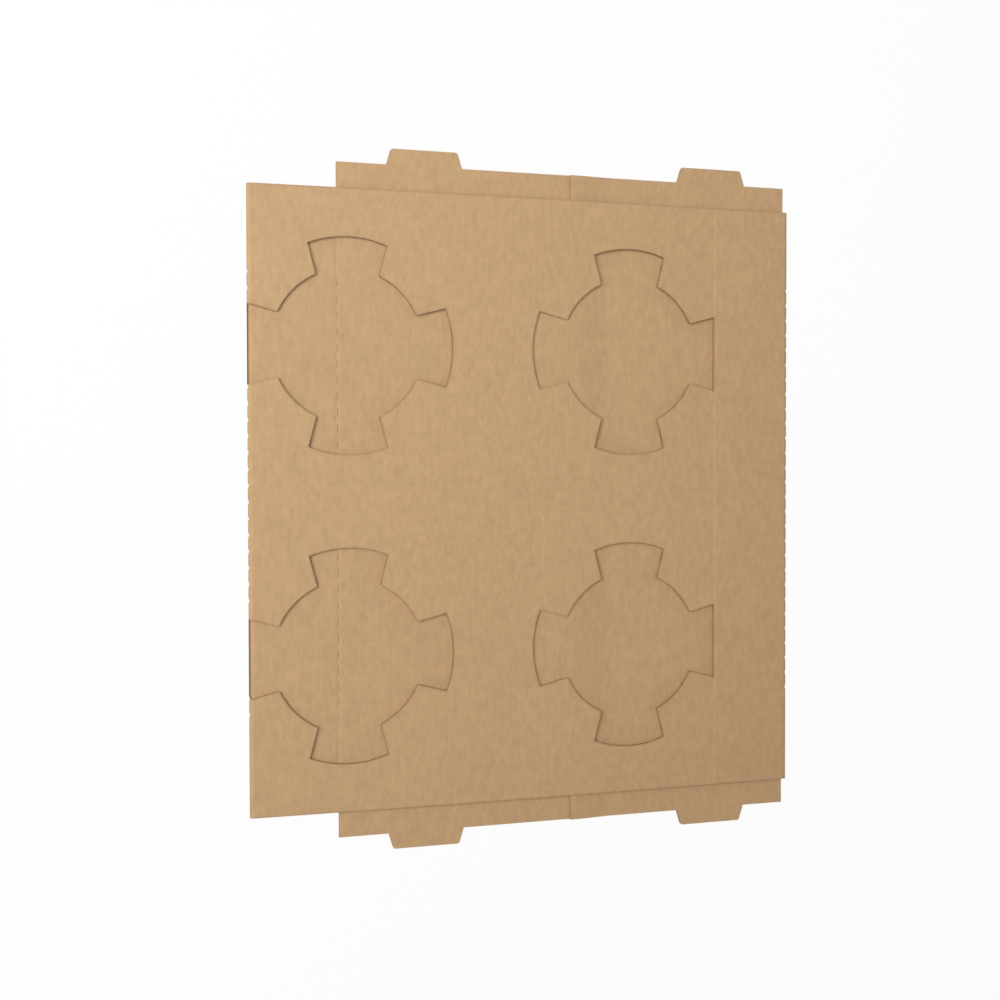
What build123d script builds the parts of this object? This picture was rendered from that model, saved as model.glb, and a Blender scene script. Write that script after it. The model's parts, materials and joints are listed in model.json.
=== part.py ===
from build123d import *
import math
import os

# A cup carrier of corrugated board: one blank, scored, glued into a sleeve and folded flat.
# +X runs across the flutes, +Y along them, and +Z up through the layers.
# The origin is under the middle of the flat carrier, on the surface that it lies on.

# Board and blank
board = 1.5               # thickness of the corrugated board
panel_width = 198.8       # top panel, and the bottom panel too, score to score
wall_height = 35.6        # each side wall, score to score
panel_length = 247.0      # top panel and side walls, along the flutes
lip = 10.6                # how far the bottom panel reaches past the top panel at each end

# Lock tabs on the lips
tab_reach = 6.4           # how far a lock tab stands past the lip
tab_tip = 27.4            # width at its tip
tab_root = 31.4           # width where it leaves the lip
tab_spread = 126.8        # middle to middle of the two tabs on one lip
tab_corner = 1.0          # rounding of its corners

# Cup openings, two by two in the top panel
hole_radius = 30.6        # the round middle, which grips the cup
hole_pitch_x = 120.0      # middle to middle across the panel
hole_pitch_y = 122.8      # middle to middle along the panel
wing_radius = 43.0        # outer arc of the four wings round each opening
wing_root = 25.4          # width of a wing where it leaves the round middle
wing_tip = 31.8           # width of a wing at its outer arc
hole_corner = 0.8         # rounding where a wing leaves the round middle

# Glued joint along the bottom panel
glue_tab = 26.0           # width of the glue tab, on the inner face
glue_tab_length = 239.0   # its length where it leaves the panel
glue_tab_taper = 5.0      # how much shorter its free edge is at each end
joint_offset = 1.5        # how far it lies to the left of the panel's middle
joint_gap = 0.1           # open slit between the two halves
joggle = 20.0             # width over which the right half climbs onto the left one

# Folds and scores
fold_gap = 0.3            # between the layers, next to a folded edge
tab_clearance = 0.1       # between the glue tab and the top panel that rides over it
score_width = 2.8         # groove of a score that lies flat
score_depth = 0.2
cut_pitch = 6.4           # perforated scores: one cut and one bridge
cut_length = 3.2          # length of a cut
cut_width = 0.2           # kerf of a cut in a flat score
cut_margin = 31.5         # plain score left at each end of a perforated one
notch_width = 2.2         # dip in a folded edge at each bridge
notch_depth = 0.45

# Places worked out from the sizes above
half_width = (panel_width + wall_height) / 2
half_length = panel_length / 2
lip_y = half_length + lip
fold_radius = board + fold_gap / 2
fold_x = half_width - fold_radius
top_score_x = panel_width - half_width
bottom_score_x = half_width - panel_width
panel_x = (top_score_x - half_width) / 2
bottom_x = (bottom_score_x + half_width) / 2
joint_x = bottom_x - joint_offset
step_x = joint_x + joggle

# The top layer bows over the glue tab: its underside clears the tab's edge that is further out
bow_reach = max(abs(joint_x), abs(joint_x - glue_tab))
bow_edge = board + fold_gap
bow_rise = (2 * board + tab_clearance - bow_edge) / (1 - (bow_reach / fold_x) ** 2)
bow_radius = (fold_x ** 2 + bow_rise ** 2) / (2 * bow_rise)
crown = bow_edge + bow_rise + board


def bowed_top(x):
    """Height of the top layer's upper face at x."""
    return crown - bow_radius + math.sqrt(bow_radius ** 2 - x ** 2)


def along_y(section, length):
    """Solid of a section drawn in X and Z, centred on Y = 0."""
    return extrude(Plane.XZ * section, length / 2, both=True)


def upright(outline, low, high):
    """Solid of an outline drawn in X and Y, from one height to another."""
    return extrude(Pos(0, 0, low) * outline, high - low, dir=(0, 0, 1))


def block(x_span, y_span, z_span):
    """Rectangular solid from its three spans."""
    size = [span[1] - span[0] for span in (x_span, y_span, z_span)]
    middle = [(span[1] + span[0]) / 2 for span in (x_span, y_span, z_span)]
    return Pos(*middle) * Box(*size)


def span_rectangle(x_span, y_span):
    """Rectangle from its two spans."""
    middle = Pos((x_span[0] + x_span[1]) / 2, (y_span[0] + y_span[1]) / 2)
    return middle * Rectangle(x_span[1] - x_span[0], y_span[1] - y_span[0])


def wing():
    """One wing of a cup opening, towards +X, running in under the round middle."""
    root_x = math.sqrt(hole_radius ** 2 - (wing_root / 2) ** 2)
    tip_x = math.sqrt(wing_radius ** 2 - (wing_tip / 2) ** 2)
    slope = (wing_tip - wing_root) / 2 / (tip_x - root_x)
    inner = wing_root / 2 - slope * root_x
    outer = wing_root / 2 + slope * (wing_radius - root_x)
    wedge = Polygon((0, inner), (0, -inner), (wing_radius, -outer), (wing_radius, outer), align=None)
    return wedge & Circle(wing_radius)


def cup_opening():
    """Outline of one opening about its own middle: a circle with four wings."""
    outline = Circle(hole_radius)
    for turn in range(4):
        outline += Rot(0, 0, 90 * turn) * wing()
    inner_corners = outline.vertices().filter_by(
        lambda v: abs(math.hypot(v.X, v.Y) - hole_radius) < (wing_radius - hole_radius) / 4)
    return fillet(inner_corners, hole_corner)


def cup_openings():
    """The four openings, cut off straight at the scores of the top panel."""
    opening = cup_opening()
    places = [(sx * hole_pitch_x / 2, sy * hole_pitch_y / 2) for sx in (-1, 1) for sy in (-1, 1)]
    outlines = Sketch() + [Pos(panel_x + x, y) * opening for x, y in places]
    panel = span_rectangle((-half_width, top_score_x), (-half_length, half_length))
    return upright(outlines & panel, board, crown + board)


def cut_middles():
    """Y of the middle of each cut along a perforated score."""
    count = int((panel_length - 2 * cut_margin) / cut_pitch)
    return [(i - (count - 1) / 2) * cut_pitch for i in range(count)]


def clear_of_openings(middles):
    """The cuts that don't run into a wing of a cup opening."""
    keep_off = wing_tip / 2 + cut_length / 2 + cut_width
    return [y for y in middles if abs(abs(y) - hole_pitch_y / 2) > keep_off]


def score_groove(x, surface, out):
    """Cutter for the groove of a flat score; out is 1 on an upper face and -1 on a lower one."""
    rim = surface + out * score_depth
    floor = surface - out * score_depth
    section = Polygon((x - score_width, rim), (x + score_width, rim), (x, floor), align=None)
    return along_y(section, panel_length)


def score_cuts(x, middles, z_span):
    """Cutters for the cuts along a flat score."""
    x_span = (x - cut_width / 2, x + cut_width / 2)
    return [block(x_span, (y - cut_length / 2, y + cut_length / 2), z_span) for y in middles]


def top_layer():
    """Top panel and right wall, one bowed sheet with the cup openings still to be cut."""
    edge = bow_edge + board
    over = ThreePointArc((-fold_x, edge), (0, crown), (fold_x, edge))
    under = ThreePointArc((fold_x, edge - board), (0, crown - board), (-fold_x, edge - board))
    ends = [Line((x, edge - board), (x, edge)) for x in (-fold_x, fold_x)]
    sheet = along_y(make_face([over, under] + ends), panel_length)
    return sheet - score_groove(top_score_x, bowed_top(top_score_x), 1)


def folded_edge(side, middles):
    """The board turned back on itself at one side, pulled in at the bridge beside each cut."""
    ring = Circle(fold_radius) - Circle(fold_gap / 2)
    half = ring & Pos(side * fold_radius / 2, 0) * Rectangle(fold_radius, 2 * fold_radius)
    edge = along_y(Pos(side * fold_x, board + fold_gap / 2) * half, panel_length)
    notch_in = side * (half_width - notch_depth)
    notch_out = side * (half_width + notch_depth)
    notch = Polygon((notch_in, 0), (notch_out, -notch_width), (notch_out, notch_width), align=None)
    cutter = upright(notch, -board, crown + board)
    return edge - [Pos(0, y + cut_pitch / 2, 0) * cutter for y in middles]


def lock_tab():
    """Outline of a lock tab that stands on Y = 0 and points to +Y."""
    tab = Polygon((-tab_root / 2, 0), (tab_root / 2, 0),
                  (tab_tip / 2, tab_reach), (-tab_tip / 2, tab_reach), align=None)
    return fillet(tab.vertices().filter_by(lambda v: v.Y > tab_reach / 2), tab_corner)


def bottom_outline():
    """Left wall and bottom panel in plan, with lips and lock tabs, open where the joint climbs."""
    outline = span_rectangle((-fold_x, bottom_score_x), (-half_length, half_length))
    outline += span_rectangle((bottom_score_x, fold_x), (-lip_y, lip_y))
    for x in (bottom_x - tab_spread / 2, bottom_x + tab_spread / 2):
        outline += Pos(x, lip_y) * lock_tab()
        outline += Pos(x, -lip_y) * Rot(0, 0, 180) * lock_tab()
    return outline - span_rectangle((joint_x - joint_gap, step_x), (-lip_y, lip_y))


def bottom_layer():
    """Left wall and bottom panel, scored on both faces where they meet."""
    sheet = upright(bottom_outline(), 0, board)
    grooves = [score_groove(bottom_score_x, board, 1), score_groove(bottom_score_x, 0, -1)]
    return sheet - grooves - score_cuts(bottom_score_x, cut_middles(), (-board, 2 * board))


def joint_step():
    """The step by which the right half climbs to the level of the left half's inner face."""
    section = Polygon((joint_x, board), (joint_x, 2 * board), (step_x, board), (step_x, 0), align=None)
    return along_y(section, 2 * lip_y)


def glue_tab_sheet():
    """The glue tab at the top of the step, flat on the left half's inner face."""
    free_x = joint_x - glue_tab
    half = glue_tab_length / 2
    plan = Polygon((free_x, glue_tab_taper - half), (joint_x, -half),
                   (joint_x, half), (free_x, half - glue_tab_taper), align=None)
    return upright(plan, board, 2 * board)


right_edge = folded_edge(1, cut_middles())
left_edge = folded_edge(-1, clear_of_openings(cut_middles()))
upper = top_layer() + right_edge + left_edge - cup_openings()
cup_carrier = upper + bottom_layer() + joint_step() + glue_tab_sheet()
cup_carrier.label = "cup_carrier"

os.makedirs("parts", exist_ok=True)
export_step(cup_carrier, "parts/cup_carrier.step")
box = cup_carrier.bounding_box()
print("solids", len(cup_carrier.solids()), "size", box.size, "low", box.min, "volume", cup_carrier.volume)
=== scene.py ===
import json
import math

import bmesh
import bpy
import numpy as np
from mathutils import Matrix, Quaternion, Vector


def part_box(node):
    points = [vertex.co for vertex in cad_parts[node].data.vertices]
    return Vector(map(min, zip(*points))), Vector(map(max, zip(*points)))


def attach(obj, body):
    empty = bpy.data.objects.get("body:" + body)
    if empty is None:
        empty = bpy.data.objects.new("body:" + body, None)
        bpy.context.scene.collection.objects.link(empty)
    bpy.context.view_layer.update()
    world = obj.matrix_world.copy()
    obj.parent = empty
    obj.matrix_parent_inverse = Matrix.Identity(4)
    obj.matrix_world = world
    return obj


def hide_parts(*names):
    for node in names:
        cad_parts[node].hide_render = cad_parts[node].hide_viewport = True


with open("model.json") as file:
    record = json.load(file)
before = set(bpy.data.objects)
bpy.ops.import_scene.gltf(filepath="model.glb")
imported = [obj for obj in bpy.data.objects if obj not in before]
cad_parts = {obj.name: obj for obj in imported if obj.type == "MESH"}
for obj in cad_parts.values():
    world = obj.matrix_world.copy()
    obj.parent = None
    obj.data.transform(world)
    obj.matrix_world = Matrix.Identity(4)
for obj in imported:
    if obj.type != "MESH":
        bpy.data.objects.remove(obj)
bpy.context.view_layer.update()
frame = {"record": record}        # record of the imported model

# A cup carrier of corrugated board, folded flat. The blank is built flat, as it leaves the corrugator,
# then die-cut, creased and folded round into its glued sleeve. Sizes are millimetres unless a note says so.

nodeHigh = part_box("cup_carrier")[1]
mm = 0.001


def hexColour(code):
    # sRGB hex to the linear colour that the sockets take
    channels = [int(code[i:i + 2], 16) / 255 for i in (1, 3, 5)]
    linear = [c / 12.92 if c <= 0.04045 else ((c + 0.055) / 1.055) ** 2.4 for c in channels]
    return (*linear, 1.0)


def addNode(tree, kind, inputs=None, **settings):
    # a node with its settings; an input is a value, a socket, or a node that gives its first output
    node = tree.nodes.new(kind)
    for name, value in settings.items():
        setattr(node, name, value)
    for key, value in (inputs or {}).items():
        if isinstance(value, bpy.types.Node):
            value = value.outputs[0]
        if isinstance(value, bpy.types.NodeSocket):
            tree.links.new(value, node.inputs[key])
        else:
            node.inputs[key].default_value = value
    return node


def linkObject(name, data):
    made = bpy.data.objects.new(name, data)
    bpy.context.scene.collection.objects.link(made)
    return made


def bakeModifiers(piece):
    # the evaluated result becomes the piece's plain mesh
    evaluated = piece.evaluated_get(bpy.context.evaluated_depsgraph_get())
    baked = bpy.data.meshes.new_from_object(evaluated)
    piece.modifiers.clear()
    piece.data = baked
    return piece


# Camera

cameraSet = {
    "sensorWidth": 36.0,
    "lens": 53.23,
    "place": (-201.5, 14.8, 578.6),
    "turn": (1.381, 17.994, 0.334),          # degrees, as one rotation vector
    "clipStart": 10.0,
    "clipEnd": 20000.0,
}


def makeCamera(settings):
    data = bpy.data.cameras.new("photoView")
    data.sensor_width = settings["sensorWidth"]
    data.lens = settings["lens"]
    data.clip_start = settings["clipStart"] * mm
    data.clip_end = settings["clipEnd"] * mm
    camera = linkObject("photoView", data)
    turn = Vector(settings["turn"])
    camera.rotation_mode = "QUATERNION"
    camera.rotation_quaternion = Quaternion(turn.normalized(), -math.radians(turn.length))
    camera.location = Vector(settings["place"]) * mm
    bpy.context.scene.camera = camera


makeCamera(cameraSet)
print("camera set")


# Floor, world and lamp

bpy.context.scene.view_settings.view_transform = "Standard"

studio = {
    "floorSize": 8000.0,
    "floorColour": "#f4f3f1",
    "floorLift": 0.92,                       # share of plain white that the camera sees in the floor
    "worldColour": "#fff4ec",                # a warm room: the shadows between the layers are brown
    "worldLevel": 0.22,
    "keyPlace": (-575.0, 165.0, 957.0),      # high on the left of the photo's view
    "keyAim": (-60.0, 900.0, 0.0),           # past the far end: the light falls off towards the near one
    "keySize": 780.0,
    "keyPower": 14.2,                        # watts
}


def seenByCamera(tree):
    # 1 for camera, mirror and glass rays, 0 for the rays that carry light
    rays = addNode(tree, "ShaderNodeLightPath").outputs
    direct = addNode(tree, "ShaderNodeMath", {
        0: rays["Is Camera Ray"], 1: rays["Is Glossy Ray"]}, operation="MAXIMUM")
    return addNode(tree, "ShaderNodeMath", {
        0: direct, 1: rays["Is Transmission Ray"]}, operation="MAXIMUM")


def makeFloor(settings):
    # matt white studio board, lifted to near white for the camera; the object's shadow stays on it
    paint = bpy.data.materials.new("studioFloorBoard")
    paint.use_nodes = True
    tree = paint.node_tree
    tree.nodes.clear()
    matt = addNode(tree, "ShaderNodeBsdfDiffuse", {"Color": hexColour(settings["floorColour"])})
    white = addNode(tree, "ShaderNodeEmission", {"Strength": 1.0})
    lift = addNode(tree, "ShaderNodeMath", {
        0: seenByCamera(tree), 1: settings["floorLift"]}, operation="MULTIPLY")
    mix = addNode(tree, "ShaderNodeMixShader", {0: lift, 1: matt, 2: white})
    addNode(tree, "ShaderNodeOutputMaterial", {"Surface": mix})
    reach = settings["floorSize"] / 2 * mm
    corners = [(-reach, -reach, 0), (reach, -reach, 0), (reach, reach, 0), (-reach, reach, 0)]
    mesh = bpy.data.meshes.new("studioFloor")
    mesh.from_pydata(corners, [], [(0, 1, 2, 3)])
    mesh.materials.append(paint)
    floor = linkObject("studioFloor", mesh)


def makeLight(settings):
    world = bpy.data.worlds.new("studioWorld")
    bpy.context.scene.world = world
    world.use_nodes = True
    tree = world.node_tree
    tree.nodes.clear()
    fill = addNode(tree, "ShaderNodeBackground", {
        "Color": hexColour(settings["worldColour"]), "Strength": settings["worldLevel"]})
    shown = addNode(tree, "ShaderNodeBackground", {"Color": hexColour("#ffffff"), "Strength": 1.0})
    mix = addNode(tree, "ShaderNodeMixShader", {0: seenByCamera(tree), 1: fill, 2: shown})
    addNode(tree, "ShaderNodeOutputWorld", {"Surface": mix})
    lamp = bpy.data.lights.new("keyLamp", "AREA")
    lamp.shape = "DISK"
    lamp.size = settings["keySize"] * mm
    lamp.energy = settings["keyPower"]
    key = linkObject("keyLamp", lamp)
    key.location = Vector(settings["keyPlace"]) * mm
    key.rotation_mode = "QUATERNION"
    key.rotation_quaternion = (Vector(settings["keyAim"]) * mm - key.location).to_track_quat("-Z", "Y")


makeFloor(studio)
makeLight(studio)
print("floor and lamp set")


# Carrier board

carrier = {
    "board": 1.5,                            # thickness of the corrugated board
    "linerPaper": 0.2,
    "flutingPaper": 0.17,
    "flutePitch": 3.3,
    "stepsPerFlute": 16,
    "spareFlutes": 2,                        # the papers are that much longer than the blank before the die
    "tipGap": 0.004,                         # the glue line at the tips of the fluting
    "washboard": 0.008,                      # how far the liner sinks between the tips, half of it
    "panelWidth": 198.8,                     # top and bottom panel, score to score
    "panelLength": 247.0,
    "lip": 10.6,
    "tabReach": 6.4, "tabTip": 27.4, "tabRoot": 31.4, "tabSpread": 126.8, "tabCorner": 1.0,
    "holeRadius": 30.6, "wingRadius": 43.0, "wingRoot": 25.4, "wingTip": 31.8, "holeCorner": 0.8,
    "glueTab": 26.0, "glueTabLength": 239.0, "glueTabTaper": 5.0,
    "jointOffset": 1.5,
    "joggle": 20.0,                          # the right half climbs onto the left one over this width
    "foldGap": 0.3, "scoreWidth": 2.8, "scoreDepth": 0.2,
    "backScore": 0.65, "frontScore": 0.3,    # shares of that depth that show in the two flat scores
    "cutPitch": 6.4, "cutLength": 3.2, "cutWidth": 0.14, "cutMargin": 31.5,
    "dipReach": 1.1, "dipDepth": 0.45,       # half width and depth of the dip at a bridge of a folded edge
    "crush": 0.85,                           # share of its thickness lost where a wing runs out on the fold
    "cornerSteps": 4, "wingSteps": 16, "roundSteps": 14,
    "wallRise": 0.05,                        # a face whose normal rises less than this was left by a knife
    "sharpAngle": 38.0,
}
foldGrip = 0.5                               # how far past a fold its extra rows reach
fade = 1.0                                   # over which a crushed end or a score runs out
onPlane = 0.0001                             # a vertex this near to a cutting plane counts as on it

# places on the folded carrier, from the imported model's box
half = carrier["board"] / 2
halfWidth = nodeHigh.x / mm
halfLength = carrier["panelLength"] / 2
lipEnd = halfLength + carrier["lip"]
glueTabY = carrier["glueTabLength"] / 2
foldRadius = half + carrier["foldGap"] / 2                # of the board's middle
foldHeight = carrier["board"] + carrier["foldGap"] / 2
foldX = halfWidth - foldHeight
topScoreX = carrier["panelWidth"] - halfWidth
jointX = halfWidth - carrier["panelWidth"] / 2 - carrier["jointOffset"]
bowEdge = foldHeight + foldRadius                         # middle of the top layer at its folds
bowRise = nodeHigh.z / mm - half - bowEdge
bowRadius = (foldX ** 2 + bowRise ** 2) / (2 * bowRise)

# places along the flat blank, from its free edge at the joint once round the sleeve to the glue tab
foldArc = math.pi * foldRadius
bottomScoreS = jointX + topScoreX
leftFoldS = bottomScoreS + foldX - topScoreX
topStartS = leftFoldS + foldArc
topEndS = topStartS + 2 * bowRadius * math.asin(foldX / bowRadius)
rightFoldEndS = topEndS + foldArc
tabStartS = rightFoldEndS + foldX - jointX
joggleS = tabStartS - carrier["joggle"]
blankEndS = tabStartS + carrier["glueTab"]
topMiddleS = (topStartS + topEndS) / 2
topScoreS = topMiddleS + topScoreX
leftMiddleS = leftFoldS + foldArc / 2
rightMiddleS = topEndS + foldArc / 2

# the openings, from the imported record, and the cuts of the perforated scores between them
openings = [tuple(value / mm for value in mount["pos_m"][:2]) for mount in frame["record"]["mounts"]
            if mount["name"].endswith("cup_opening")]
openingY = max(y for x, y in openings)
openingX = sum(x for x, y in openings) / len(openings)
openingPitch = max(x for x, y in openings) - min(x for x, y in openings)
rootY, tipY = carrier["wingRoot"] / 2, carrier["wingTip"] / 2
rootX = math.sqrt(carrier["holeRadius"] ** 2 - rootY ** 2)
tipX = math.sqrt(carrier["wingRadius"] ** 2 - tipY ** 2)
wingSlope = (tipY - rootY) / (tipX - rootX)
keepOff = tipY + carrier["cutLength"] / 2 + carrier["cutWidth"]
cutCount = int((carrier["panelLength"] - 2 * carrier["cutMargin"]) / carrier["cutPitch"])
cutMiddles = [(i - (cutCount - 1) / 2) * carrier["cutPitch"] for i in range(cutCount)]
clearMiddles = [y for y in cutMiddles if abs(abs(y) - openingY) > keepOff]
wingEdges = [side * openingY + edge * tipY for side in (-1, 1) for edge in (-1, 1)]
cutReach = 4 * carrier["board"]


# Materials

kraft = {
    "liner": "#c2a179",
    "fluting": "#b3946d",
    "cutEdge": "#9e734d",
    "pale": 1.22,                            # brightness of the palest fibre against the paper's own
    "deep": 0.78,                            # and of the deepest
    "shive": "#96744e",                      # specks of unpulped wood
    "cloud": (26.0, 0.10),                   # size of the broad clouds, and their share
    "patch": (6.0, 0.26),                    # smaller clouds inside them
    "floc": (2.2, 0.50),                     # clumps of fibre, as the sheet formed
    "grain": (1.0, 0.26),                    # finer clumps inside them
    "drawnOut": 2.2,                         # the clumps are this much longer along the flutes
    "fibre": (2.8, 0.5, 0.16),               # length, width and share of a bundle of fibres, drawn coarse
    "fibreTurns": (0.2, 1.25, 2.3),          # the fibres lie in every direction; radians
    "fluteShare": 0.02,                      # the tips of the fluting just show through the liner
    "noiseRoughness": 0.55,
    "pressedRimAndShade": (0.9, 0.20),                  # width and share of the darker rim along each cut: partly the die's pressing, partly painted shade where the edge drops to the layer below
    # tint of that rim, close to the brown of the painted shade between the layers
    "pressedRimShadeTint": "#7c4c36",
    "scuffed": (1.1, 0.12),                  # half width and share of the paler line along a flat score
    "speckEvery": 14.0,
    "speckSize": (0.03, 0.015),              # faint rim and full middle of a speck, as shares of that
    "speckShare": 0.5,
    "bump": (0.3, 0.1),                      # strength and height
    "ior": 1.45,
    "specular": 0.25,
}


def edgeDistance(tree, sheet):
    # from a place on the blank to the nearest opening or end of the top panel; negative past it
    s, y = addNode(tree, "ShaderNodeSeparateXYZ", {0: sheet}).outputs[:2]
    # the four openings mirror one another, so one of them serves for all
    fromMiddle = addNode(tree, "ShaderNodeVectorMath", {
        0: sheet, 1: (topMiddleS + openingX, 0, 0)}, operation="SUBTRACT")
    mirrored = addNode(tree, "ShaderNodeVectorMath", {0: fromMiddle}, operation="ABSOLUTE")
    fromOpening = addNode(tree, "ShaderNodeVectorMath", {
        0: mirrored, 1: (openingPitch / 2, openingY, 0)}, operation="SUBTRACT")
    reach = addNode(tree, "ShaderNodeVectorMath", {0: fromOpening}, operation="LENGTH").outputs["Value"]
    sizes = addNode(tree, "ShaderNodeVectorMath", {0: fromOpening}, operation="ABSOLUTE")
    across, along = addNode(tree, "ShaderNodeSeparateXYZ", {0: sizes}).outputs[:2]
    # past the round middle, past the side of a wing and past its tip
    out = addNode(tree, "ShaderNodeMath", {0: across, 1: along}, operation="MAXIMUM")
    aside = addNode(tree, "ShaderNodeMath", {0: across, 1: along}, operation="MINIMUM")
    wingHalf = addNode(tree, "ShaderNodeMath", {
        0: out, 1: wingSlope, 2: rootY - wingSlope * rootX}, operation="MULTIPLY_ADD")
    pastSide = addNode(tree, "ShaderNodeMath", {0: aside, 1: wingHalf}, operation="SUBTRACT")
    pastTip = addNode(tree, "ShaderNodeMath", {0: reach, 1: carrier["wingRadius"]}, operation="SUBTRACT")
    pastRound = addNode(tree, "ShaderNodeMath", {0: reach, 1: carrier["holeRadius"]}, operation="SUBTRACT")
    pastWing = addNode(tree, "ShaderNodeMath", {0: pastSide, 1: pastTip}, operation="MAXIMUM")
    opening = addNode(tree, "ShaderNodeMath", {0: pastRound, 1: pastWing}, operation="MINIMUM")
    # the outer wings stop at the right score and on the left fold
    pastScore = addNode(tree, "ShaderNodeMath", {0: s, 1: topScoreS}, operation="SUBTRACT")
    pastFold = addNode(tree, "ShaderNodeMath", {0: leftMiddleS, 1: s}, operation="SUBTRACT")
    stopped = addNode(tree, "ShaderNodeMath", {0: opening, 1: pastScore}, operation="MAXIMUM")
    kept = addNode(tree, "ShaderNodeMath", {0: stopped, 1: pastFold}, operation="MAXIMUM")
    # the ends of the top panel, between its folds
    panelS = addNode(tree, "ShaderNodeMath", {0: s, 1: topMiddleS}, operation="SUBTRACT")
    panelSize = addNode(tree, "ShaderNodeMath", {0: panelS}, operation="ABSOLUTE")
    pastFolds = addNode(tree, "ShaderNodeMath", {
        0: panelSize, 1: topMiddleS - topStartS}, operation="SUBTRACT")
    lengthwise = addNode(tree, "ShaderNodeMath", {0: y}, operation="ABSOLUTE")
    toEnd = addNode(tree, "ShaderNodeMath", {0: halfLength, 1: lengthwise}, operation="SUBTRACT")
    panelEnd = addNode(tree, "ShaderNodeMath", {0: toEnd, 1: pastFolds}, operation="MAXIMUM")
    return addNode(tree, "ShaderNodeMath", {0: kept, 1: panelEnd}, operation="MINIMUM")


def speckledKraft(name, base, settings, roughness):
    # colour and bump of unbleached kraft paper: clouds, clumps, fibres, ghost flutes, a few specks, and a
    # darker rim by the cuts that is partly painted shade
    paper = bpy.data.materials.new(name)
    paper.use_nodes = True
    tree = paper.node_tree
    tree.nodes.clear()
    place = addNode(tree, "ShaderNodeTexCoord").outputs["Object"]
    drawn = addNode(tree, "ShaderNodeMapping", {
        "Vector": place, "Scale": (1.0, settings["drawnOut"], 1.0)}, vector_type="TEXTURE")
    layers = [(settings["cloud"], place), (settings["patch"], place),
              (settings["floc"], drawn), (settings["grain"], drawn)]
    length, width, share = settings["fibre"]
    for turn in settings["fibreTurns"]:
        along = addNode(tree, "ShaderNodeMapping", {
            "Vector": place, "Rotation": (0, 0, turn), "Scale": (length / width, 1.0, 1.0)},
            vector_type="TEXTURE")
        layers.append(((width, share), along))
    # each layer swings the tone about nought
    tone = 0.0
    for (size, share), vector in layers:
        clumps = addNode(tree, "ShaderNodeTexNoise", {
            "Vector": vector, "Scale": 1 / (size * mm), "Detail": 1.0,
            "Roughness": settings["noiseRoughness"]})
        swing = addNode(tree, "ShaderNodeMath", {0: clumps, 1: 0.5}, operation="SUBTRACT")
        tone = addNode(tree, "ShaderNodeMath", {0: swing, 1: share, 2: tone}, operation="MULTIPLY_ADD")

    # places on the flat blank, in millimetres: the fluting shows here and there, and the scores are paler
    blankMap = addNode(tree, "ShaderNodeUVMap", uv_map="blankSheet")
    sheet = addNode(tree, "ShaderNodeVectorMath", {0: blankMap, "Scale": 1 / mm}, operation="SCALE")
    s = addNode(tree, "ShaderNodeSeparateXYZ", {0: sheet}).outputs[0]
    phase = addNode(tree, "ShaderNodeMath", {
        0: s, 1: 2 * math.pi / carrier["flutePitch"]}, operation="MULTIPLY")
    wave = addNode(tree, "ShaderNodeMath", {0: phase}, operation="COSINE")
    broad = addNode(tree, "ShaderNodeTexNoise", {
        "Vector": place, "Scale": 1 / (settings["cloud"][0] * mm), "Detail": 2.0,
        "Roughness": settings["noiseRoughness"]})
    showing = addNode(tree, "ShaderNodeMath", {0: broad, 1: settings["fluteShare"]}, operation="MULTIPLY")
    tone = addNode(tree, "ShaderNodeMath", {0: wave, 1: showing, 2: tone}, operation="MULTIPLY_ADD")
    width, share = settings["scuffed"]
    for score in (bottomScoreS, topScoreS):
        past = addNode(tree, "ShaderNodeMath", {0: s, 1: score}, operation="SUBTRACT")
        distance = addNode(tree, "ShaderNodeMath", {0: past}, operation="ABSOLUTE")
        scuff = addNode(tree, "ShaderNodeMapRange", {
            "Value": distance, "From Max": width, "To Min": share, "To Max": 0.0},
            interpolation_type="SMOOTHSTEP")
        tone = addNode(tree, "ShaderNodeMath", {0: tone, 1: scuff}, operation="ADD")

    # colour: the tone runs from deep to pale, then come the specks and the darker rims by the cuts, partly
    # pressed by the die and partly painted shade
    pale, deep = ((*(min(channel * settings[end], 1.0) for channel in hexColour(base)[:3]), 1.0)
                  for end in ("pale", "deep"))
    toneShare = addNode(tree, "ShaderNodeMapRange", {"Value": tone, "From Min": -0.5, "From Max": 0.5})
    mottle = addNode(tree, "ShaderNodeMix", {0: toneShare, 6: deep, 7: pale}, data_type="RGBA")
    speck = addNode(tree, "ShaderNodeTexVoronoi", {
        "Vector": place, "Scale": 1 / (settings["speckEvery"] * mm)})
    faintRim, fullMiddle = settings["speckSize"]
    speckShare = addNode(tree, "ShaderNodeMapRange", {
        "Value": speck.outputs["Distance"], "From Min": faintRim, "From Max": fullMiddle,
        "To Max": settings["speckShare"]})
    specked = addNode(tree, "ShaderNodeMix", {
        0: speckShare, 6: mottle.outputs[2], 7: hexColour(settings["shive"])}, data_type="RGBA")
    # painted shade: by each cut of the top panel the colour darkens towards the edge, partly also the die's
    # pressing
    width, share = settings["pressedRimAndShade"]
    rim = addNode(tree, "ShaderNodeMapRange", {
        "Value": edgeDistance(tree, sheet), "From Max": width, "To Min": share, "To Max": 0.0},
        interpolation_type="SMOOTHSTEP")
    colour = addNode(tree, "ShaderNodeMix", {
        0: rim, 6: specked.outputs[2], 7: hexColour(settings["pressedRimShadeTint"])}, data_type="RGBA")
    strength, height = settings["bump"]
    bump = addNode(tree, "ShaderNodeBump", {"Height": tone, "Strength": strength, "Distance": height * mm})
    surface = addNode(tree, "ShaderNodeBsdfPrincipled", {
        "Base Color": colour.outputs[2], "Roughness": roughness, "IOR": settings["ior"],
        "Specular IOR Level": settings["specular"], "Normal": bump})
    addNode(tree, "ShaderNodeOutputMaterial", {"Surface": surface})
    return paper


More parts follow.
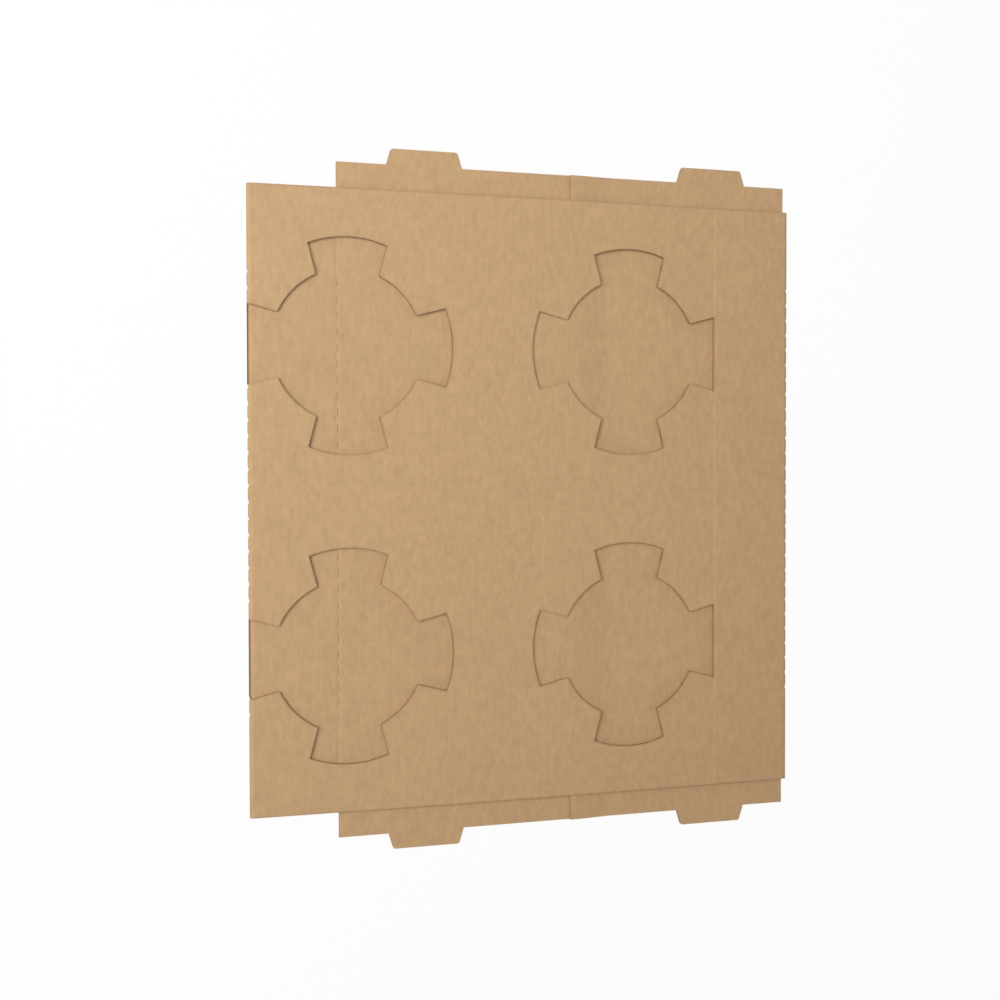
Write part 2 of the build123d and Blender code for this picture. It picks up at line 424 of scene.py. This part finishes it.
# unbleached kraft linerboard, calendered on the paper machine: brown and matt
linerPaper = speckledKraft("kraftLinerboard", kraft["liner"], kraft, roughness=0.82)
# recycled fluting medium, pressed hot into waves: duller and a little darker
flutingPaper = speckledKraft("flutingMedium", kraft["fluting"], kraft, roughness=0.9)
# die-cut edge, where the paper is torn as much as cut: rough and darker
cutEdgePaper = speckledKraft("dieCutKraftEdge", kraft["cutEdge"], kraft, roughness=0.95)
boardPapers = (linerPaper, flutingPaper, cutEdgePaper)
print("materials made")


# Die-cut outlines, each from corners of x, y and a radius


def arcPoints(radius, startAngle, endAngle, steps):
    angles = [math.radians(startAngle + (endAngle - startAngle) * i / steps) for i in range(steps + 1)]
    return [(radius * math.cos(a), radius * math.sin(a), 0) for a in angles]


def easedOutline(corners):
    # the corners with a radius are rounded
    steps = carrier["cornerSteps"]
    outline = []
    for i, (x, y, radius) in enumerate(corners):
        if not radius:
            outline.append((x, y))
            continue
        corner = Vector((x, y))
        before = (Vector(corners[i - 1][:2]) - corner).normalized()
        after = (Vector(corners[(i + 1) % len(corners)][:2]) - corner).normalized()
        reach = radius / math.tan(before.angle(after) / 2)
        middle = corner + (before + after).normalized() * math.hypot(reach, radius)
        for step in range(steps + 1):
            chord = (corner + before * reach).lerp(corner + after * reach, step / steps) - middle
            outline.append(tuple(middle + chord.normalized() * radius))
    return outline


def openingOutline(stopTurn, stopReach):
    # round middle with four wings; the wing turned to stopTurn ends straight, stopReach out
    rootAngle = math.degrees(math.asin(rootY / carrier["holeRadius"]))
    tipAngle = math.degrees(math.asin(tipY / carrier["wingRadius"]))
    stopY = rootY + wingSlope * (stopReach - rootX)
    corners = []
    for turn in (0, 90, 180, 270):
        quarter = [(rootX, -rootY, carrier["holeCorner"])]
        if turn == stopTurn:
            quarter += [(stopReach, -stopY, 0), (stopReach, stopY, 0)]
        else:
            quarter += arcPoints(carrier["wingRadius"], -tipAngle, tipAngle, carrier["wingSteps"])
        quarter.append((rootX, rootY, carrier["holeCorner"]))
        quarter += arcPoints(carrier["holeRadius"], rootAngle, 90 - rootAngle, carrier["roundSteps"])[1:-1]
        cosine = round(math.cos(math.radians(turn)))
        sine = round(math.sin(math.radians(turn)))
        corners += [(x * cosine - y * sine, x * sine + y * cosine, radius) for x, y, radius in quarter]
    return easedOutline(corners)


def lockTabCorners(middleS):
    root, tip, top = carrier["tabRoot"] / 2, carrier["tabTip"] / 2, lipEnd + carrier["tabReach"]
    return [(middleS - root, lipEnd, 0), (middleS - tip, top, carrier["tabCorner"]),
            (middleS + tip, top, carrier["tabCorner"]), (middleS + root, lipEnd, 0)]


def blankOutline():
    # the far edge of the blank from left to right, then the near edge back
    spread, offset = carrier["tabSpread"] / 2, carrier["jointOffset"]
    far = [(0, lipEnd, 0)]
    far += lockTabCorners(spread - offset)
    far += [(bottomScoreS, lipEnd, 0), (bottomScoreS, halfLength, 0),
            (rightFoldEndS, halfLength, 0), (rightFoldEndS, lipEnd, 0)]
    far += lockTabCorners(tabStartS - offset - spread)
    far += [(tabStartS, lipEnd, 0), (tabStartS, glueTabY, 0),
            (blankEndS, glueTabY - carrier["glueTabTaper"], 0)]
    near = [(s, -y, radius) for s, y, radius in reversed(far)]
    return easedOutline(far + near)


def prism(name, outline):
    # closed upright cutter over a plan outline
    bm = bmesh.new()
    face = bm.faces.new([bm.verts.new((x, y, -cutReach)) for x, y in outline])
    grown = bmesh.ops.extrude_face_region(bm, geom=[face])
    for element in grown["geom"]:
        if isinstance(element, bmesh.types.BMVert):
            element.co.z = cutReach
    bmesh.ops.recalc_face_normals(bm, faces=bm.faces)
    mesh = bpy.data.meshes.new(name)
    bm.to_mesh(mesh)
    bm.free()
    return linkObject(name, mesh)


def newTree(name, sockets):
    # a geometry tree with named inputs and one geometry output
    tree = bpy.data.node_groups.new(name, "GeometryNodeTree")
    for socket, kind in sockets:
        tree.interface.new_socket(socket, in_out="INPUT", socket_type="NodeSocket" + kind)
    tree.interface.new_socket("Geometry", in_out="OUTPUT", socket_type="NodeSocketGeometry")
    return tree, tree.nodes.new("NodeGroupInput").outputs


def makePaperTree():
    # one web of paper as long as the blank, flat or waved, as a closed sheet
    tree, given = newTree("corrugatedPaper", [
        ("Length", "Float"), ("Depth", "Float"), ("Paper Thickness", "Float"), ("Flute Pitch", "Float"),
        ("Steps per Flute", "Float"), ("Middle Height", "Float"), ("Wave Height", "Float"),
        ("Paper", "Material")])
    flutes = addNode(tree, "ShaderNodeMath", {
        0: given["Length"], 1: given["Flute Pitch"]}, operation="DIVIDE")
    steps = addNode(tree, "ShaderNodeMath", {0: flutes, 1: given["Steps per Flute"]}, operation="MULTIPLY")
    wholeSteps = addNode(tree, "ShaderNodeMath", {0: steps}, operation="ROUND")
    columns = addNode(tree, "ShaderNodeMath", {0: wholeSteps, 1: 1.0}, operation="ADD")
    size = addNode(tree, "ShaderNodeCombineXYZ", {
        0: given["Length"], 1: given["Depth"], 2: given["Paper Thickness"]})
    sheet = addNode(tree, "GeometryNodeMeshCube", {
        "Size": size, "Vertices X": columns, "Vertices Y": 2, "Vertices Z": 2})
    # each point rises with the wave
    place = addNode(tree, "GeometryNodeInputPosition")
    x, y, z = addNode(tree, "ShaderNodeSeparateXYZ", {0: place}).outputs
    waveNumber = addNode(tree, "ShaderNodeMath", {
        0: 2 * math.pi, 1: given["Flute Pitch"]}, operation="DIVIDE")
    phase = addNode(tree, "ShaderNodeMath", {0: x, 1: waveNumber}, operation="MULTIPLY")
    cosine = addNode(tree, "ShaderNodeMath", {0: phase}, operation="COSINE")
    wave = addNode(tree, "ShaderNodeMath", {0: cosine, 1: given["Wave Height"]}, operation="MULTIPLY")
    middle = addNode(tree, "ShaderNodeMath", {0: wave, 1: given["Middle Height"]}, operation="ADD")
    # on a slope the sheet is stretched upwards, so that the paper stays as thick
    sine = addNode(tree, "ShaderNodeMath", {0: phase}, operation="SINE")
    rise = addNode(tree, "ShaderNodeMath", {0: sine, 1: given["Wave Height"]}, operation="MULTIPLY")
    slope = addNode(tree, "ShaderNodeMath", {0: rise, 1: waveNumber}, operation="MULTIPLY")
    squared = addNode(tree, "ShaderNodeMath", {0: slope, 1: slope}, operation="MULTIPLY")
    grown = addNode(tree, "ShaderNodeMath", {0: squared, 1: 1.0}, operation="ADD")
    stretch = addNode(tree, "ShaderNodeMath", {0: grown}, operation="SQRT")
    offset = addNode(tree, "ShaderNodeMath", {0: z, 1: stretch}, operation="MULTIPLY")
    height = addNode(tree, "ShaderNodeMath", {0: middle, 1: offset}, operation="ADD")
    target = addNode(tree, "ShaderNodeCombineXYZ", {0: x, 1: y, 2: height})
    waved = addNode(tree, "GeometryNodeSetPosition", {"Geometry": sheet, "Position": target})
    real = addNode(tree, "GeometryNodeRealizeInstances", {"Geometry": waved})
    done = addNode(tree, "GeometryNodeSetMaterial", {"Geometry": real, "Material": given["Paper"]})
    addNode(tree, "NodeGroupOutput", {0: done})
    return tree


def makePerforationTree():
    # one row of knife cuts along a score, left out where a wing of an opening meets it
    tree, given = newTree("perforationRule", [
        ("Score Place", "Float"), ("Cut Count", "Int"), ("Cut Pitch", "Float"), ("Cut Length", "Float"),
        ("Cut Width", "Float"), ("Cut Height", "Float"), ("Opening Place", "Float"), ("Keep Off", "Float"),
        ("Paper", "Material")])
    gaps = addNode(tree, "ShaderNodeMath", {0: given["Cut Count"], 1: 1.0}, operation="SUBTRACT")
    length = addNode(tree, "ShaderNodeMath", {0: gaps, 1: given["Cut Pitch"]}, operation="MULTIPLY")
    start = addNode(tree, "ShaderNodeMath", {0: length, 1: -0.5}, operation="MULTIPLY")
    first = addNode(tree, "ShaderNodeCombineXYZ", {0: given["Score Place"], 1: start})
    step = addNode(tree, "ShaderNodeCombineXYZ", {1: given["Cut Pitch"]})
    row = addNode(tree, "GeometryNodeMeshLine", {
        "Count": given["Cut Count"], "Start Location": first, "Offset": step})
    place = addNode(tree, "GeometryNodeInputPosition")
    y = addNode(tree, "ShaderNodeSeparateXYZ", {0: place}).outputs[1]
    fromMiddle = addNode(tree, "ShaderNodeMath", {0: y}, operation="ABSOLUTE")
    past = addNode(tree, "ShaderNodeMath", {0: fromMiddle, 1: given["Opening Place"]}, operation="SUBTRACT")
    distance = addNode(tree, "ShaderNodeMath", {0: past}, operation="ABSOLUTE")
    close = addNode(tree, "ShaderNodeMath", {0: distance, 1: given["Keep Off"]}, operation="LESS_THAN")
    kept = addNode(tree, "GeometryNodeDeleteGeometry", {"Geometry": row, "Selection": close})
    size = addNode(tree, "ShaderNodeCombineXYZ", {
        0: given["Cut Width"], 1: given["Cut Length"], 2: given["Cut Height"]})
    knife = addNode(tree, "GeometryNodeMeshCube", {"Size": size})
    knives = addNode(tree, "GeometryNodeInstanceOnPoints", {"Points": kept, "Instance": knife})
    real = addNode(tree, "GeometryNodeRealizeInstances", {"Geometry": knives})
    done = addNode(tree, "GeometryNodeSetMaterial", {"Geometry": real, "Material": given["Paper"]})
    addNode(tree, "NodeGroupOutput", {0: done})
    return tree


def runTree(name, tree, values):
    # a new object whose mesh is the tree's result for these named inputs
    made = linkObject(name, bpy.data.meshes.new(name))
    modifier = made.modifiers.new("build", "NODES")
    modifier.node_group = tree
    for item in tree.interface.items_tree:
        if item.in_out == "INPUT":
            modifier[item.identifier] = values[item.name]
    return bakeModifiers(made)


def dieCut(sheet, cutter, operation):
    cut = sheet.modifiers.new("dieCut", "BOOLEAN")
    cut.solver = "MANIFOLD"
    cut.operation = operation
    cut.object = cutter
    bakeModifiers(sheet)


def joinedMesh(name, pieces):
    bm = bmesh.new()
    for piece in pieces:
        bm.from_mesh(piece.data)
        bpy.data.objects.remove(piece)
    mesh = bpy.data.meshes.new(name)
    bm.to_mesh(mesh)
    bm.free()
    return mesh


def makePapers():
    # outer liner, fluting and inner liner; the tips of the fluting just meet the liners
    tree = makePaperTree()
    flutes = math.ceil(blankEndS / carrier["flutePitch"]) + carrier["spareFlutes"]
    depth = 2 * (lipEnd + 2 * carrier["tabReach"])
    linerMiddle = half - carrier["linerPaper"] / 2 - carrier["washboard"]
    waveHeight = half - carrier["linerPaper"] - carrier["flutingPaper"] / 2 - carrier["tipGap"]
    papers = []
    for name, thickness, middle, height, paper in (
            ("outerLiner", carrier["linerPaper"], linerMiddle, carrier["washboard"], linerPaper),
            ("fluting", carrier["flutingPaper"], 0.0, waveHeight, flutingPaper),
            ("innerLiner", carrier["linerPaper"], -linerMiddle, carrier["washboard"], linerPaper)):
        sheet = runTree(name, tree, {
            "Length": flutes * carrier["flutePitch"], "Depth": depth, "Paper Thickness": thickness,
            "Flute Pitch": carrier["flutePitch"], "Steps per Flute": carrier["stepsPerFlute"],
            "Middle Height": middle, "Wave Height": height, "Paper": paper})
        sheet.data.transform(Matrix.Translation((blankEndS / 2, 0, 0)))
        papers.append(sheet)
    return papers


def makeWaste():
    # what the die takes out: the four openings and the rows of knife cuts
    waste = []
    for x, y in openings:
        if x < 0:
            plan = openingOutline(180, foldX + x + foldArc / 2)
        else:
            plan = openingOutline(0, topScoreX - x)
        waste.append(prism("openingWaste", [(topMiddleS + x + px, y + py) for px, py in plan]))
    tree = makePerforationTree()
    for place, clear in ((bottomScoreS, False), (leftMiddleS, True), (rightMiddleS, False)):
        waste.append(runTree("perforationWaste", tree, {
            "Score Place": place, "Cut Count": cutCount, "Cut Pitch": carrier["cutPitch"],
            "Cut Length": carrier["cutLength"], "Cut Width": carrier["cutWidth"],
            "Cut Height": 2 * cutReach, "Opening Place": openingY, "Keep Off": keepOff if clear else -1.0,
            "Paper": cutEdgePaper}))
    return linkObject("waste", joinedMesh("waste", waste))


def addRows(mesh):
    # rows of vertices for the dips and crushed ends along the folds, and for the ends of the back score
    spread = (-1.0, -0.5, 0.0, 0.5, 1.0)
    dips = [carrier["cutPitch"] / 2 + step * carrier["dipReach"] for step in spread]
    leftDips = [y + dip for y in clearMiddles for dip in dips]
    rightDips = [y + dip for y in cutMiddles for dip in dips]
    crushedEnds = [edge + step * fade for edge in wingEdges for step in spread]
    scoreEnds = [side * end for side in (-1, 1) for end in (halfLength, halfLength + fade)]
    scoreReach = carrier["scoreWidth"]
    bm = bmesh.new()
    bm.from_mesh(mesh)
    for low, high, rows in (
            (leftFoldS - foldGrip, topStartS + foldGrip, leftDips + crushedEnds),
            (topEndS - foldGrip, rightFoldEndS + foldGrip, rightDips),
            (bottomScoreS - scoreReach, bottomScoreS + scoreReach, scoreEnds)):
        faces = [f for f in bm.faces if all(low < v.co.x < high for v in f.verts)]
        edges = dict.fromkeys(e for f in faces for e in f.edges)
        verts = dict.fromkeys(v for f in faces for v in f.verts)
        region = [*faces, *edges, *verts]
        for row in rows:
            cut = bmesh.ops.bisect_plane(
                bm, geom=region, dist=onPlane, plane_co=(0, row, 0), plane_no=(0, 1, 0))
            region = cut["geom"]
    bm.to_mesh(mesh)
    bm.free()


def dent(distance, reach, depth):
    # a rounded dip: its depth at each distance from its middle
    return depth * (0.5 + 0.5 * np.cos(math.pi * np.clip(np.abs(distance) / reach, 0, 1)))


def creased(s, y, h):
    # height in the board after the score lines are pressed in; h is 0 at the board's middle
    reach, depth = carrier["scoreWidth"] / 2, carrier["scoreDepth"]
    bothSides = dent(s - bottomScoreS, reach, depth * carrier["backScore"])
    bothSides *= np.clip((halfLength + fade - np.abs(y)) / fade, 0, 1)
    outerSide = bothSides + dent(s - topScoreS, reach, depth * carrier["frontScore"])
    h = h * (1 - np.where(h > 0, outerSide, bothSides) / half)
    # where a wing runs out on the left fold, the die has pressed the inner liner against the outer one
    inWing = np.clip((tipY + fade - np.abs(np.abs(y) - openingY)) / fade, 0, 1)
    crushed = dent(s - leftMiddleS, foldArc / 2 + foldGrip, carrier["crush"]) * inWing
    return half - (half - h) * (1 - crushed)


def folded(s, y, h):
    # where each point of the flat blank goes: x and z on the folded carrier
    x, z = jointX - s, half - h
    on = (s >= leftFoldS) & (s < topStartS)
    angle = (s[on] - leftFoldS) / foldRadius
    x[on] = -foldX - (foldRadius + h[on]) * np.sin(angle)
    z[on] = foldHeight - (foldRadius + h[on]) * np.cos(angle)
    on = (s >= topStartS) & (s < topEndS)
    angle = (s[on] - topMiddleS) / bowRadius
    x[on] = (bowRadius + h[on]) * np.sin(angle)
    z[on] = bowEdge + bowRise - bowRadius + (bowRadius + h[on]) * np.cos(angle)
    on = (s >= topEndS) & (s < rightFoldEndS)
    angle = (s[on] - topEndS) / foldRadius
    x[on] = foldX + (foldRadius + h[on]) * np.sin(angle)
    z[on] = foldHeight + (foldRadius + h[on]) * np.cos(angle)
    on = s >= rightFoldEndS
    x[on] = foldX - (s[on] - rightFoldEndS)
    # a smooth step up by one thickness
    climb = np.clip((s[on] - joggleS) / carrier["joggle"], 0, 1)
    z[on] += carrier["board"] * climb * climb * (3 - 2 * climb)
    return x, z


def dipped(x, y):
    # the folded edges are pulled in at the bridge beside each cut
    for side, middles in ((-1, clearMiddles), (1, cutMiddles)):
        past = np.clip(side * x - foldX, 0, None)
        for middle in middles:
            dip = dent(y - middle - carrier["cutPitch"] / 2, carrier["dipReach"], carrier["dipDepth"])
            x = x - side * past * dip / foldHeight
    return x


def makeCarrier():
    papers = makePapers()
    blank = prism("blankShape", blankOutline())
    waste = makeWaste()
    for paper in papers:
        dieCut(paper, blank, "INTERSECT")
        dieCut(paper, waste, "DIFFERENCE")
        addRows(paper.data)
        # the walls left by the knives take the cut paper, the rest keeps its own
        own = boardPapers.index(flutingPaper if paper.name == "fluting" else linerPaper)
        normals = np.empty(len(paper.data.polygons) * 3)
        paper.data.polygons.foreach_get("normal", normals)
        isWall = np.abs(normals[2::3]) < carrier["wallRise"]
        index = np.where(isWall, boardPapers.index(cutEdgePaper), own).astype(np.int32)
        paper.data.materials.clear()
        for material in boardPapers:
            paper.data.materials.append(material)
        paper.data.polygons.foreach_set("material_index", index)
    bpy.data.objects.remove(blank)
    bpy.data.objects.remove(waste)
    mesh = joinedMesh("foldedBoard", papers)
    for material in boardPapers:
        mesh.materials.append(material)
    print("blank cut, faces", len(mesh.polygons))

    flat = np.empty(len(mesh.vertices) * 3)
    mesh.vertices.foreach_get("co", flat)
    s, y, h = flat.reshape(-1, 3).T
    h = creased(s, y, h)
    x, z = folded(s, y, h)
    x = dipped(x, y)
    mesh.vertices.foreach_set("co", (np.column_stack([x, y, z]) * mm).ravel())
    sheetMap = mesh.uv_layers.new(name="blankSheet")
    corner = np.empty(len(mesh.loops), np.int32)
    mesh.loops.foreach_get("vertex_index", corner)
    sheetMap.uv.foreach_set("vector", (np.column_stack([s, y])[corner] * mm).ravel())
    mesh.update()
    mesh.shade_smooth()
    mesh.set_sharp_from_angle(angle=math.radians(carrier["sharpAngle"]))
    piece = linkObject("foldedBoard", mesh)
    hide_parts("cup_carrier")
    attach(piece, "root")


makeCarrier()
print("carrier folded")
